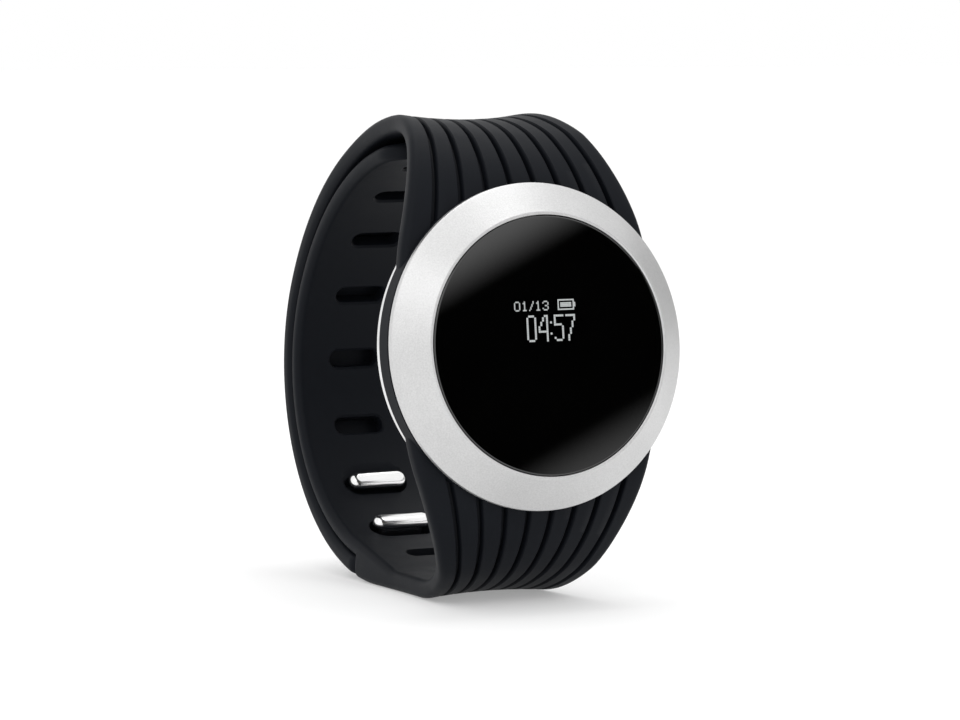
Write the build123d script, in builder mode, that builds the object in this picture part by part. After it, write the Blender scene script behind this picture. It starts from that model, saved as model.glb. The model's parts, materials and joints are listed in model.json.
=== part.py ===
from build123d import *
from math import asin, atan2, cos, degrees, hypot, radians, sin
import os

os.makedirs("parts", exist_ok=True)

# Everything is in millimetres. +Z is up, the face looks along -Y, and the origin lies under the
# middle of the band, on the surface that it stands on.

# driving dimensions of the module
bezel_radius = 19.0
face_tilt = 6.0             # degrees that the face leans back
bezel_rise = 2.9            # height of the bezel's cone
bezel_rim = 0.8             # thickness of the bezel's outer rim
lens_radius = 15.0
lens_thickness = 1.2
waist_radius = 17.0         # the strap's hoop grips the housing here
rear_ring_radius = 18.6
rear_ring_thickness = 1.1
module_depth = 9.0          # from the bezel's rim plane to the rear face
wall = 0.9
screw_circle = 13.3         # radius at which the rear screws sit
screw_angle = 45
screw_head = 1.2
screw_shank = 0.65
seal_radii = (16.3, 15.5)
seal_depth = 0.6
pin_radius = 0.8
pin_pitch = 2.6
pin_height = -8             # the charging pins' row, below the middle of the rear cover

# driving dimensions of the strap
strap_thickness = 2.3
slotted_thickness = 2.0     # the lower strap where it runs inside the upper one
hoop_gap = 0.2              # clearance between the hoop and each flange
hoop_bore_gap = 0.15
root_radius = 18.9          # where the hoop ends and the straps begin
layer_gap = 0.2             # clearance between the two layers of strap
loop_height = 30.5          # from the standing face to the bezel's centre
face_y = -24.2              # the bezel's centre, so that the origin is central
back_radius = 25.1
back_y = 27.8               # the back curve's centre, behind and below the bezel's centre
back_z = -5.4
top_radius = 37.4           # the flatter curve over the top
top_angle = 25.3            # degrees at which the top curve meets the back curve
top_shoulder = 15.5
bottom_shoulder = 15.0
slotted_top_radius = 33.5
slotted_end = 84.0          # degrees at which the slotted end stops, under the top
tail_start = -20.0          # degrees at which the tail begins
tail_end = -79.0
ramp_start = 22.0           # where the lower strap starts to thicken, behind the bezel's centre

# driving dimensions of the clasp
slot_step = 23.4            # degrees between slots on the back curve
slot_first = -91.5
slot_count = 9
slot_size = (6.8, 2.2)
stretched_slot = (8.3, 3.6)
stud_slots = (1, 2)         # the slots that hold the studs
stud_head = (7.7, 2.3)
stud_neck = (6.0, 1.7)
stud_head_height = 1.3
plate_width = 9.0
plate_thickness = 0.6
plate_angles = (-37.0, -76.0)

# half widths of the straps: by height from the bezel's centre, and by depth behind it
front_widths = [(16.2, 0), (15.9, 13), (15.0, 16), (13.6, 20), (12.2, 23.5), (11, 26), (9.6, 31)]
plan_widths = [(16.4, -6), (16, 2), (13.4, 5.4), (11.4, 11), (9.8, 16.5), (8.6, 25), (8, 33), (8, 60)]

tilt = radians(face_tilt)
centre_y = face_y
centre_z = loop_height
face_centre = (0, centre_y, centre_z)
outward = (0, -cos(tilt), sin(tilt))
face_plane = Plane(origin=face_centre, x_dir=(1, 0, 0), z_dir=outward)
section_plane = Plane(origin=face_centre, x_dir=(1, 0, 0), z_dir=(0, -sin(tilt), -cos(tilt)))
face_axis = Axis(face_centre, outward)


def on_circle(centre, radius, angle):
    return (centre[0] + radius * cos(radians(angle)), centre[1] + radius * sin(radians(angle)))


def in_face(depth, height):
    """A point of the side view, from its depth behind the face and its height along it."""
    y = centre_y + depth * cos(tilt) + height * sin(tilt)
    return (y, centre_z - depth * sin(tilt) + height * cos(tilt))


def turned(points):
    """Revolve an outline of (radius, height) points about the face's axis."""
    with BuildSketch(section_plane) as outline:
        with BuildLine():
            Polyline(*points, close=True)
        make_face()
    revolve(outline.sketch, axis=face_axis)


# bezel, lens and seals
seat = bezel_rise - lens_thickness - 0.1
skirt_radius = waist_radius - 0.4
with BuildPart() as bezel:
    turned([
        (bezel_radius, 0), (lens_radius + 0.4, bezel_rise), (lens_radius + 0.08, bezel_rise),
        (lens_radius + 0.08, seat), (lens_radius - 0.8, seat), (lens_radius - 0.8, seat - 0.7),
        (skirt_radius + 0.05, seat - 0.7), (skirt_radius + 0.05, -bezel_rim),
        (bezel_radius, -bezel_rim),
    ])
    rim = bezel.edges().filter_by(GeomType.CIRCLE).sort_by(SortBy.RADIUS)[-2:]
    fillet(rim, 0.2)
bezel.part.label = "bezel"

with BuildPart() as lens:
    with BuildSketch(face_plane.offset(seat + 0.1)):
        Circle(lens_radius)
    extrude(amount=lens_thickness)
    chamfer(lens.edges().group_by(Axis(face_centre, outward))[-1], 0.15)
lens.part.label = "lens"

with BuildPart() as lens_gasket:
    with BuildSketch(face_plane.offset(seat)):
        Circle(lens_radius - 0.1)
        Circle(lens_radius - 0.75, mode=Mode.SUBTRACT)
    extrude(amount=0.1)
lens_gasket.part.label = "lens_gasket"

# housing
housing_back = -(bezel_rim + 2 * hoop_gap + strap_thickness + rear_ring_thickness)
housing_bore = skirt_radius - wall
with BuildPart() as module_housing:
    turned([
        (housing_bore, seat - 0.75), (skirt_radius, seat - 0.75), (skirt_radius, -bezel_rim - 0.05),
        (waist_radius, -bezel_rim - 0.05), (waist_radius, housing_back), (housing_bore, housing_back),
    ])
module_housing.part.label = "module_housing"

with BuildPart() as rear_ring:
    with BuildSketch(face_plane.offset(housing_back)):
        Circle(rear_ring_radius)
        Circle(waist_radius, mode=Mode.SUBTRACT)
    extrude(amount=rear_ring_thickness)
    fillet(rear_ring.edges().filter_by(GeomType.CIRCLE).sort_by(SortBy.RADIUS)[-2:], 0.25)
rear_ring.part.label = "rear_ring"

# rear cover, with screw bosses, its seal groove and the charging pins
cover_radius = 16.9
cover_floor = 1.0
pocket_radius = 14.9
boss_radius = 1.8
head_depth = 0.9            # from the rear face to under the screw heads
with BuildPart() as rear_cover:
    with BuildSketch(face_plane.offset(-module_depth)):
        Circle(cover_radius)
    extrude(amount=module_depth + housing_back)
    fillet(rear_cover.edges().group_by(face_axis)[0], 1.6)
    with BuildSketch(face_plane.offset(-module_depth + cover_floor)):
        Circle(pocket_radius)
        with PolarLocations(screw_circle, 4, start_angle=screw_angle):
            Circle(boss_radius, mode=Mode.SUBTRACT)
    extrude(amount=module_depth, mode=Mode.SUBTRACT)
    with BuildSketch(face_plane.offset(housing_back)):
        Circle(seal_radii[0])
        Circle(seal_radii[1], mode=Mode.SUBTRACT)
    extrude(amount=-seal_depth, mode=Mode.SUBTRACT)
    with BuildSketch(face_plane.offset(-module_depth)):
        with PolarLocations(screw_circle, 4, start_angle=screw_angle):
            Circle(screw_head + 0.05)
    extrude(amount=head_depth, mode=Mode.SUBTRACT)
    with BuildSketch(face_plane.offset(-module_depth)):
        with PolarLocations(screw_circle, 4, start_angle=screw_angle):
            Circle(screw_shank + 0.05)
    extrude(amount=module_depth, mode=Mode.SUBTRACT)
    with BuildSketch(face_plane.offset(-module_depth)):
        with Locations((0, pin_height)):
            with GridLocations(pin_pitch, 1, 4, 1):
                Circle(pin_radius)
    extrude(amount=2, mode=Mode.SUBTRACT)
rear_cover.part.label = "rear_cover"

with BuildPart() as rear_seal:
    with BuildSketch(face_plane.offset(housing_back - seal_depth)):
        Circle(seal_radii[0])
        Circle(seal_radii[1], mode=Mode.SUBTRACT)
    extrude(amount=seal_depth)
rear_seal.part.label = "rear_seal"

with BuildPart() as charge_pins:
    with BuildSketch(face_plane.offset(-module_depth)):
        with Locations((0, pin_height)):
            with GridLocations(pin_pitch, 1, 4, 1):
                Circle(pin_radius)
    extrude(amount=1.0)
charge_pins.part.label = "charge_pins"

screw_tip = -3.9
cross_slot = (1.5, 0.3)
with BuildPart() as rear_screws:
    with BuildSketch(face_plane.offset(-module_depth + 0.1)):
        with PolarLocations(screw_circle, 4, start_angle=screw_angle):
            Circle(screw_head)
    extrude(amount=head_depth - 0.1)
    with BuildSketch(face_plane.offset(-module_depth + head_depth)):
        with PolarLocations(screw_circle, 4, start_angle=screw_angle):
            Circle(screw_shank)
    extrude(amount=module_depth - head_depth + screw_tip)
    with BuildSketch(face_plane.offset(-module_depth + 0.1)):
        with PolarLocations(screw_circle, 4, start_angle=screw_angle):
            Rectangle(*cross_slot)
            Rectangle(*reversed(cross_slot))
    extrude(amount=0.4, mode=Mode.SUBTRACT)
rear_screws.part.label = "rear_screws"

# inside: carrier, display, board, battery and motor
inner_radius = housing_bore - 0.1
carrier_top = -0.4
carrier_depth = 1.1
display_size = (24, 19)
display_thickness = 1.15
board_top = -2.6
board_thickness = 0.7
with BuildPart() as display_carrier:
    with BuildSketch(face_plane.offset(carrier_top)):
        Circle(inner_radius)
        Rectangle(20, 12, mode=Mode.SUBTRACT)
    extrude(amount=-carrier_depth)
    with BuildSketch(face_plane.offset(carrier_top - carrier_depth)):
        with PolarLocations(screw_circle, 4, start_angle=screw_angle):
            Circle(1.7)
    extrude(amount=board_top - carrier_top + carrier_depth)
    with BuildSketch(face_plane.offset(screw_tip - 1)):
        with PolarLocations(screw_circle, 4, start_angle=screw_angle):
            Circle(screw_shank + 0.05)
    extrude(amount=3, mode=Mode.SUBTRACT)
display_carrier.part.label = "display_carrier"

with BuildPart() as display_panel:
    with BuildSketch(face_plane.offset(carrier_top)):
        Rectangle(*display_size)
    extrude(amount=display_thickness)
display_panel.part.label = "display_panel"

with BuildPart() as touch_pad:
    with BuildSketch(face_plane.offset(carrier_top)):
        with Locations((0, -11.8)):
            RectangleRounded(7, 3, 1)
    extrude(amount=display_thickness)
touch_pad.part.label = "touch_pad"

with BuildPart() as main_board:
    with BuildSketch(face_plane.offset(board_top)):
        Circle(inner_radius - 0.2)
        with Locations((10.6, 0)):
            Circle(4.3, mode=Mode.SUBTRACT)
        with PolarLocations(screw_circle, 4, start_angle=screw_angle):
            Circle(0.75, mode=Mode.SUBTRACT)
    extrude(amount=-board_thickness)
main_board.part.label = "main_board"

chips = {
    "processor": (-4, 3, 6, 6, 0.8),
    "radio": (3, 6, 4, 4, 0.8),
    "motion_sensor": (2, -3, 3, 3, 0.7),
    "memory": (-6, -4, 4, 5, 0.7),
}
with BuildPart() as board_chips:
    for x, y, width, height, rise in chips.values():
        with BuildSketch(face_plane.offset(board_top)):
            with Locations((x, y)):
                Rectangle(width, height)
        extrude(amount=rise)
board_chips.part.label = "board_chips"

with BuildPart() as antenna:
    with BuildSketch(face_plane.offset(board_top)):
        with Locations((0, 12)):
            Rectangle(8, 1.6)
    extrude(amount=0.8)
antenna.part.label = "antenna"

with BuildPart() as display_flex:
    with BuildSketch(face_plane.offset(board_top)):
        with Locations((0, -9)):
            Rectangle(7, 3)
    extrude(amount=0.25)
display_flex.part.label = "display_flex"

battery_x = -3.7
battery_width = 16.0
battery_height = 14.4
battery_thickness = 3.4
battery_top = board_top - board_thickness - 0.2
with BuildPart() as battery:
    with BuildSketch(face_plane.offset(battery_top)):
        with Locations((battery_x, 0)):
            RectangleRounded(battery_width, battery_height, 1.2)
    extrude(amount=-battery_thickness)
    fillet(battery.edges().filter_by(Axis((0, 0, 0), (1, 0, 0))), 0.5)
battery.part.label = "battery"

with BuildPart() as battery_pad:
    with BuildSketch(face_plane.offset(battery_top - battery_thickness)):
        with Locations((battery_x, 0)):
            Rectangle(battery_width - 2, battery_height - 2)
    extrude(amount=-0.7)
battery_pad.part.label = "battery_pad"

motor_place = (10.6, 0)
motor_radius = 3.8
motor_back = -6.9
with BuildPart() as motor_case:
    with BuildSketch(face_plane.offset(motor_back)):
        with Locations(motor_place):
            Circle(motor_radius)
    extrude(amount=3.4)
    with BuildSketch(face_plane.offset(motor_back + 0.3)):
        with Locations(motor_place):
            Circle(motor_radius - 0.3)
            Circle(0.5, mode=Mode.SUBTRACT)
    extrude(amount=2.8, mode=Mode.SUBTRACT)
motor_case.part.label = "motor_case"

with BuildPart() as motor_weight:
    with BuildSketch(face_plane.offset(motor_back + 0.6)):
        with Locations(motor_place):
            Circle(motor_radius - 0.6)
            with Locations((-2.2, 0)):
                Rectangle(3.4, 8, mode=Mode.SUBTRACT)
            Circle(1.0)
            Circle(0.55, mode=Mode.SUBTRACT)
    extrude(amount=2.2)
motor_weight.part.label = "motor_weight"

# strap side view
back_centre = (centre_y + back_y, centre_z + back_z)
step_back = top_radius - back_radius
top_centre = on_circle(back_centre, -step_back, top_angle)
slotted_radius = back_radius - strap_thickness - layer_gap
slotted_centre = on_circle(back_centre, slotted_radius - slotted_top_radius, top_angle)
outer_depth = bezel_rim + hoop_gap


def depth_of(point):
    return (point[0] - centre_y) * cos(tilt) - (point[1] - centre_z) * sin(tilt)


lean = asin((depth_of(top_centre) - outer_depth - top_shoulder) / (top_radius - top_shoulder)) - tilt
shoulder_angle = 90 + degrees(lean)
shoulder_centre = on_circle(top_centre, top_radius - top_shoulder, shoulder_angle)
face_angle = 180 - face_tilt
bottom_height = bottom_shoulder - loop_height
bottom_y = (outer_depth + bottom_shoulder + bottom_height * sin(tilt)) / cos(tilt)
bottom_centre = (centre_y + bottom_y, bottom_shoulder)
root_height = 9.0           # the straps' wings reach this far down beside the hoop


def trim_to_width():
    """Narrow a strap from its wide roots to the band behind, in front view and in plan."""
    upward = [(x, centre_z + z) for x, z in front_widths]
    downward = [(x, centre_z - z) for x, z in reversed(front_widths[1:])]
    with BuildSketch(Plane.XZ) as front_view:
        with BuildLine():
            right = downward + upward
            Polyline(*right, *[(-x, z) for x, z in reversed(right)], close=True)
        make_face()
    extrude(front_view.sketch, amount=80, both=True, mode=Mode.INTERSECT)
    with BuildSketch(Plane.XY) as plan_view:
        with BuildLine():
            right = [(x, centre_y + y) for x, y in plan_widths]
            Polyline(*right, *[(-x, y) for x, y in reversed(right)], close=True)
        make_face()
    extrude(plan_view.sketch, amount=80, both=True, mode=Mode.INTERSECT)


def wall_plane(middle, angle):
    """A plane across the strap's wall at a point of the side view, facing the given way."""
    return Plane(origin=(0, *middle), x_dir=(1, 0, 0), z_dir=(0, *on_circle((0, 0), 1, angle)))


def cut_root():
    """Hollow the root so that it meets the hoop round the module."""
    with BuildSketch(face_plane.offset(5)) as hoop_round:
        Circle(root_radius)
    extrude(hoop_round.sketch, amount=-20, mode=Mode.SUBTRACT)


thick = strap_thickness
pull_angle = slot_first + slot_step * sum(stud_slots) / len(stud_slots)
with BuildPart() as upper_strap:
    with BuildSketch(Plane.YZ):
        with BuildLine():
            outer_root = in_face(outer_depth, root_height)
            inner_root = in_face(outer_depth + thick, root_height)
            front_turn = face_angle - shoulder_angle
            over = shoulder_angle - top_angle
            down = top_angle - tail_start
            Line(outer_root, on_circle(shoulder_centre, top_shoulder, face_angle))
            CenterArc(shoulder_centre, top_shoulder, face_angle, -front_turn)
            CenterArc(top_centre, top_radius, shoulder_angle, -over)
            CenterArc(back_centre, back_radius, top_angle, -down)
            Line(on_circle(back_centre, back_radius, tail_start),
                 on_circle(back_centre, back_radius - thick, tail_start))
            CenterArc(back_centre, back_radius - thick, tail_start, down)
            CenterArc(top_centre, top_radius - thick, top_angle, over)
            CenterArc(shoulder_centre, top_shoulder - thick, shoulder_angle, front_turn)
            Line(on_circle(shoulder_centre, top_shoulder - thick, face_angle), inner_root)
            Line(inner_root, outer_root)
        make_face()
    extrude(amount=16, both=True)
    trim_to_width()
    cut_root()
upper_strap.part.label = "upper_strap"

inner_radius_back = slotted_radius - slotted_thickness
ramp_from = (centre_y + ramp_start, thick)
to_centre = (back_centre[0] - ramp_from[0], back_centre[1] - ramp_from[1])
reach = hypot(*to_centre)
ramp_slope = degrees(atan2(to_centre[1], to_centre[0]) - asin(inner_radius_back / reach))
step_angle = tail_end - 0.7
with BuildPart() as lower_strap:
    with BuildSketch(Plane.YZ):
        with BuildLine():
            outer_root = in_face(outer_depth, -root_height)
            inner_root = in_face(outer_depth + thick, -root_height)
            bottom_turn = 90 + face_tilt
            inside_start = ramp_slope - 90
            Line(outer_root, on_circle(bottom_centre, bottom_shoulder, face_angle))
            CenterArc(bottom_centre, bottom_shoulder, face_angle, bottom_turn)
            Line((bottom_centre[0], 0), (back_centre[0], 0))
            CenterArc(back_centre, back_centre[1], -90, step_angle + 90)
            Line(on_circle(back_centre, back_centre[1], step_angle),
                 on_circle(back_centre, slotted_radius, step_angle))
            CenterArc(back_centre, slotted_radius, step_angle, top_angle - step_angle)
            CenterArc(slotted_centre, slotted_top_radius, top_angle, slotted_end - top_angle)
            Line(on_circle(slotted_centre, slotted_top_radius, slotted_end),
                 on_circle(slotted_centre, slotted_top_radius - slotted_thickness, slotted_end))
            CenterArc(slotted_centre, slotted_top_radius - slotted_thickness, slotted_end,
                      top_angle - slotted_end)
            CenterArc(back_centre, inner_radius_back, top_angle, inside_start - top_angle)
            Line(on_circle(back_centre, inner_radius_back, inside_start), ramp_from)
            Line(ramp_from, (bottom_centre[0], thick))
            CenterArc(bottom_centre, bottom_shoulder - thick, -90, -bottom_turn)
            Line(on_circle(bottom_centre, bottom_shoulder - thick, face_angle), inner_root)
            Line(inner_root, outer_root)
        make_face()
    extrude(amount=16, both=True)
    for number in range(slot_count):
        angle = slot_first + number * slot_step
        across, along = stretched_slot if number in stud_slots else slot_size
        middle = on_circle(back_centre, inner_radius_back, angle)
        if angle > top_angle:
            on_top = (angle - top_angle) * (inner_radius_back + 1) / (slotted_top_radius - 1)
            angle = top_angle + on_top
            middle = on_circle(slotted_centre, slotted_top_radius - slotted_thickness, angle)
        slot_direction = pull_angle if number in stud_slots else angle
        with BuildSketch(wall_plane(middle, slot_direction).offset(-1)):
            with Locations((0, sin(radians(slot_direction - angle)))):
                SlotOverall(across, along)
        extrude(amount=slotted_thickness + 1.5, mode=Mode.SUBTRACT)
    trim_to_width()
    cut_root()
lower_strap.part.label = "lower_strap"

with BuildPart() as strap_hoop:
    with BuildSketch(face_plane.offset(-outer_depth)):
        Circle(root_radius)
        Circle(waist_radius + hoop_bore_gap, mode=Mode.SUBTRACT)
    extrude(amount=-strap_thickness)
strap_hoop.part.label = "strap_hoop"

# tail of the upper strap, with its plate and studs
plate_from, plate_to = plate_angles
with BuildPart() as tail_blank:
    with BuildSketch(Plane.YZ):
        with BuildLine():
            sweep_angle = tail_end - tail_start
            CenterArc(back_centre, back_radius, tail_start, sweep_angle)
            Line(on_circle(back_centre, back_radius, tail_end),
                 on_circle(back_centre, back_radius - thick, tail_end))
            CenterArc(back_centre, back_radius - thick, tail_end, -sweep_angle)
            Line(on_circle(back_centre, back_radius - thick, tail_start),
                 on_circle(back_centre, back_radius, tail_start))
        make_face()
    extrude(amount=8, both=True)

with BuildPart() as clasp_plate:
    with BuildSketch(Plane.YZ):
        with BuildLine():
            sweep_angle = plate_to - plate_from
            CenterArc(back_centre, back_radius, plate_from, sweep_angle)
            Line(on_circle(back_centre, back_radius, plate_to),
                 on_circle(back_centre, back_radius - plate_thickness, plate_to))
            CenterArc(back_centre, back_radius - plate_thickness, plate_to, -sweep_angle)
            Line(on_circle(back_centre, back_radius - plate_thickness, plate_from),
                 on_circle(back_centre, back_radius, plate_from))
        make_face()
    extrude(amount=plate_width / 2, both=True)
clasp_plate.part.label = "clasp_plate"


def stud_plane(number):
    """The plane across a stud's neck at the plate, facing the wrist."""
    angle = slot_first + number * slot_step
    return wall_plane(on_circle(back_centre, back_radius - plate_thickness - 0.1, angle), angle + 180)


neck_height = back_radius - plate_thickness - 0.1 - inner_radius_back + 0.2
with BuildPart() as clasp_studs:
    for number in stud_slots:
        with BuildSketch(stud_plane(number)):
            SlotOverall(*stud_neck)
        extrude(amount=neck_height)
        with BuildSketch(stud_plane(number).offset(neck_height)):
            SlotOverall(*stud_head)
        extrude(amount=stud_head_height)
clasp_studs.part.label = "clasp_studs"

with BuildPart() as strap_tail:
    add(tail_blank.part)
    add(clasp_plate.part, mode=Mode.SUBTRACT)
    add(clasp_studs.part, mode=Mode.SUBTRACT)
strap_tail.part.label = "strap_tail"

finished = [
    bezel, lens, lens_gasket, module_housing, rear_ring, rear_cover, rear_seal, charge_pins,
    rear_screws, display_carrier, display_panel, touch_pad, main_board, board_chips, antenna,
    display_flex, battery, battery_pad, motor_case, motor_weight, upper_strap, lower_strap,
    strap_hoop, strap_tail, clasp_plate, clasp_studs,
]
for piece in finished:
    export_step(piece.part, "parts/" + piece.part.label + ".step")
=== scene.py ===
import bpy
import bmesh
import json
from math import asin, atan2, cos, degrees, hypot, pi, radians, sin, sqrt
from mathutils import Matrix, Vector


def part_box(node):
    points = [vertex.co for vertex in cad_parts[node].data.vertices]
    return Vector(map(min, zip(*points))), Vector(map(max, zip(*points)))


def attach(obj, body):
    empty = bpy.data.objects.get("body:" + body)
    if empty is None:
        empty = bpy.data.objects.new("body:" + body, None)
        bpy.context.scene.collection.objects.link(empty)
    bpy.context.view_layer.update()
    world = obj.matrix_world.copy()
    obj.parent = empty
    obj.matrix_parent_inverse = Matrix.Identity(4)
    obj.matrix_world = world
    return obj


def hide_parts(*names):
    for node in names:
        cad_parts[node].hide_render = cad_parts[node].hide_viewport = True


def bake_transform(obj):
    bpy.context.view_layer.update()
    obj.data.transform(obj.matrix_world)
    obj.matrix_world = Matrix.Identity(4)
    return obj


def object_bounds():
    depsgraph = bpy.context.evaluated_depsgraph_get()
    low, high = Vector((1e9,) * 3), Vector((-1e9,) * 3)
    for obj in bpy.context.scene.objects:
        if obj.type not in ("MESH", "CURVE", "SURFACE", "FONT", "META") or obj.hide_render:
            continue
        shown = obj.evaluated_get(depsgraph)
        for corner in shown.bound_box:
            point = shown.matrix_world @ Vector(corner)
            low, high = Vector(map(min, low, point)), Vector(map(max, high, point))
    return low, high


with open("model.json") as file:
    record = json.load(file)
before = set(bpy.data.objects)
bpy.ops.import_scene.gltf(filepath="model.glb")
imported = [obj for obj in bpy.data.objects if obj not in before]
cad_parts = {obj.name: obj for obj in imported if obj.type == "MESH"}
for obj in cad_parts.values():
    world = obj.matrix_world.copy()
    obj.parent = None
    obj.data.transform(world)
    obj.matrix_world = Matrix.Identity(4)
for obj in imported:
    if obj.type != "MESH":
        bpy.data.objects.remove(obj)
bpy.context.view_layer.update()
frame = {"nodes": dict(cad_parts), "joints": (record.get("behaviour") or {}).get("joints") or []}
mm = 0.001               # sizes below are in mm unless a note says otherwise
scene = bpy.context.scene
print("frame loaded:", len(frame["nodes"]), "nodes")

# where the face is: the strap's hoop is centred on it, and the module comes out along its axis
release = [joint for joint in frame["joints"] if joint["name"] == "module_release"][0]
outward = Vector(release["axis"]).normalized()
across = Vector((1, 0, 0))
upward = outward.cross(across)
hoopLow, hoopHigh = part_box("strap_hoop")
hoopDepth = 2.15         # mm from the bezel's rim plane to the middle of the hoop
faceCentre = (hoopLow + hoopHigh) / 2 + outward * hoopDepth * mm


def onFace(x, up, out):    # a point given from the middle of the bezel's rim plane
    return faceCentre + (across * x + upward * up + outward * out) * mm


class Shade:                         # a shader socket that can be added, subtracted and multiplied
    def __init__(self, maker, socket):
        self.maker = maker
        self.socket = socket

    def calculate(self, operation, first, second):
        node = self.maker.node("ShaderNodeMath", {"operation": operation}, {0: first, 1: second})
        return Shade(self.maker, node.outputs[0])

    def __add__(self, other):
        return self.calculate("ADD", self, other)

    def __radd__(self, other):
        return self.calculate("ADD", other, self)

    def __sub__(self, other):
        return self.calculate("SUBTRACT", self, other)

    def __rsub__(self, other):
        return self.calculate("SUBTRACT", other, self)

    def __mul__(self, other):
        return self.calculate("MULTIPLY", self, other)

    def __rmul__(self, other):
        return self.calculate("MULTIPLY", other, self)


class NodeMaker:                     # fills one node tree, of a material or of the world
    def __init__(self, tree):
        self.tree = tree
        self.tree.nodes.clear()

    def node(self, kind, settings=None, sockets=None):
        made = self.tree.nodes.new(kind)
        for name, value in (settings or {}).items():
            setattr(made, name, value)
        for name, value in (sockets or {}).items():
            if isinstance(value, Shade):
                value = value.socket
            if isinstance(value, bpy.types.NodeSocket):
                self.tree.links.new(value, made.inputs[name])
            else:
                made.inputs[name].default_value = value
        return made


class Finish(NodeMaker):             # a material with one principled shader, patterned on Object coordinates
    def __init__(self, name, **values):
        self.material = bpy.data.materials.new(name)
        self.material.use_nodes = True
        super().__init__(self.material.node_tree)
        self.shader = self.node("ShaderNodeBsdfPrincipled", {}, values)
        self.node("ShaderNodeOutputMaterial", {}, {"Surface": self.shader.outputs[0]})
        self.place = self.node("ShaderNodeTexCoord").outputs["Object"]

    def noise(self, scale, detail=2.0, roughness=0.5):
        made = self.node("ShaderNodeTexNoise", {}, {
            "Vector": self.place, "Scale": scale, "Detail": detail, "Roughness": roughness})
        return Shade(self, made.outputs["Fac"])

    def grains(self, scale):
        made = self.node("ShaderNodeTexVoronoi", {}, {"Vector": self.place, "Scale": scale})
        return Shade(self, made.outputs["Distance"])

    def squeeze(self, stretch):      # the pattern is drawn out along one way, for brushed grain
        made = self.node("ShaderNodeMapping", {}, {"Vector": self.place, "Scale": stretch})
        self.place = made.outputs[0]

    def blendColour(self, amount, dark, light):
        made = self.node("ShaderNodeMix", {"data_type": "RGBA"}, {0: amount, 6: dark, 7: light})
        return made.outputs[2]

    def feed(self, name, value):
        socket = value.socket if isinstance(value, Shade) else value
        self.tree.links.new(socket, self.shader.inputs[name])

    def bump(self, height, depth, strength):
        made = self.node("ShaderNodeBump", {}, {
            "Height": height, "Distance": depth * mm, "Strength": strength})
        self.feed("Normal", made.outputs[0])


def grey(value):
    return (value, value, value, 1)


def dimmed(colour, part=0.7):
    return tuple(value * part for value in colour[:3]) + (1,)


def beadBlastedSilver():
    made = Finish("beadBlastedSilver", Metallic=1.0)
    blast = made.noise(5200, 3.0, 0.7)
    cloud = made.noise(160, 2.0)
    made.feed("Base Color", made.blendColour(blast * 0.8 + cloud * 0.2, grey(0.42), grey(0.78)))
    made.feed("Roughness", 0.34 + blast * 0.18)
    made.bump(blast, 0.04, 0.5)
    return made.material


def polishedSilver():
    made = Finish("polishedSilver", Metallic=1.0)
    wear = made.noise(900, 3.0)
    made.feed("Base Color", made.blendColour(wear, grey(0.62), grey(0.86)))
    made.feed("Roughness", 0.14 + wear * 0.16)
    made.bump(wear, 0.02, 0.3)
    return made.material


def blackGlass():
    made = Finish("blackGlass", IOR=1.75)
    smear = made.noise(140, 3.0)
    made.feed("Base Color", made.blendColour(smear, grey(0.0004), grey(0.0009)))
    made.feed("Roughness", 0.004 + smear * 0.008)
    return made.material


def softSilicone():
    made = Finish("softSilicone")
    mottle = made.noise(420, 4.0, 0.6)
    skin = made.noise(6500, 2.0)
    cloud = made.noise(60, 2.0)
    dark, light = (0.0044, 0.0052, 0.0074, 1), (0.0074, 0.0088, 0.0118, 1)
    made.feed("Base Color", made.blendColour(mottle * 0.6 + cloud * 0.4, dark, light))
    made.feed("Roughness", 0.44 + mottle * 0.14)
    made.bump(skin * 0.7 + mottle * 0.3, 0.03, 0.4)
    made.shader.inputs["Specular IOR Level"].default_value = 0.08
    return made.material


def mirrorChrome():
    made = Finish("mirrorChrome", Metallic=1.0)
    haze = made.noise(500, 3.0)
    made.feed("Base Color", made.blendColour(haze, grey(0.78), grey(0.88)))
    made.feed("Roughness", 0.12 + haze * 0.12)
    made.bump(made.noise(1500), 0.01, 0.3)
    return made.material


def brushedSteel(name="brushedSteel", light=0.62):
    made = Finish(name, Metallic=1.0)
    made.squeeze((60, 2600, 2600))
    grain = made.noise(1.0, 3.0, 0.7)
    made.feed("Base Color", made.blendColour(grain, grey(light * 0.75), grey(light * 1.1)))
    made.feed("Roughness", 0.24 + grain * 0.2)
    made.bump(grain, 0.02, 0.5)
    return made.material


def mouldedPlastic(name, colour, rough=0.5, texture=3500):
    made = Finish(name)
    spark = made.grains(texture)
    cloud = made.noise(300, 3.0)
    made.feed("Base Color", made.blendColour(cloud, dimmed(colour), colour))
    made.feed("Roughness", rough - 0.08 + cloud * 0.16)
    made.bump(spark, 0.04, 0.5)
    return made.material


def sealRubber():
    made = Finish("sealRubber")
    dust = made.noise(1800, 4.0, 0.7)
    made.feed("Base Color", made.blendColour(dust, grey(0.012), grey(0.03)))
    made.feed("Roughness", 0.6 + dust * 0.25)
    made.bump(dust, 0.05, 0.4)
    return made.material


def goldPlate(name="goldPlate", colour=(0.86, 0.62, 0.25, 1)):
    made = Finish(name, Metallic=1.0)
    scuff = made.noise(2600, 3.0)
    made.feed("Base Color", made.blendColour(scuff, dimmed(colour), colour))
    made.feed("Roughness", 0.16 + scuff * 0.2)
    made.bump(scuff, 0.01, 0.4)
    return made.material


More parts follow.
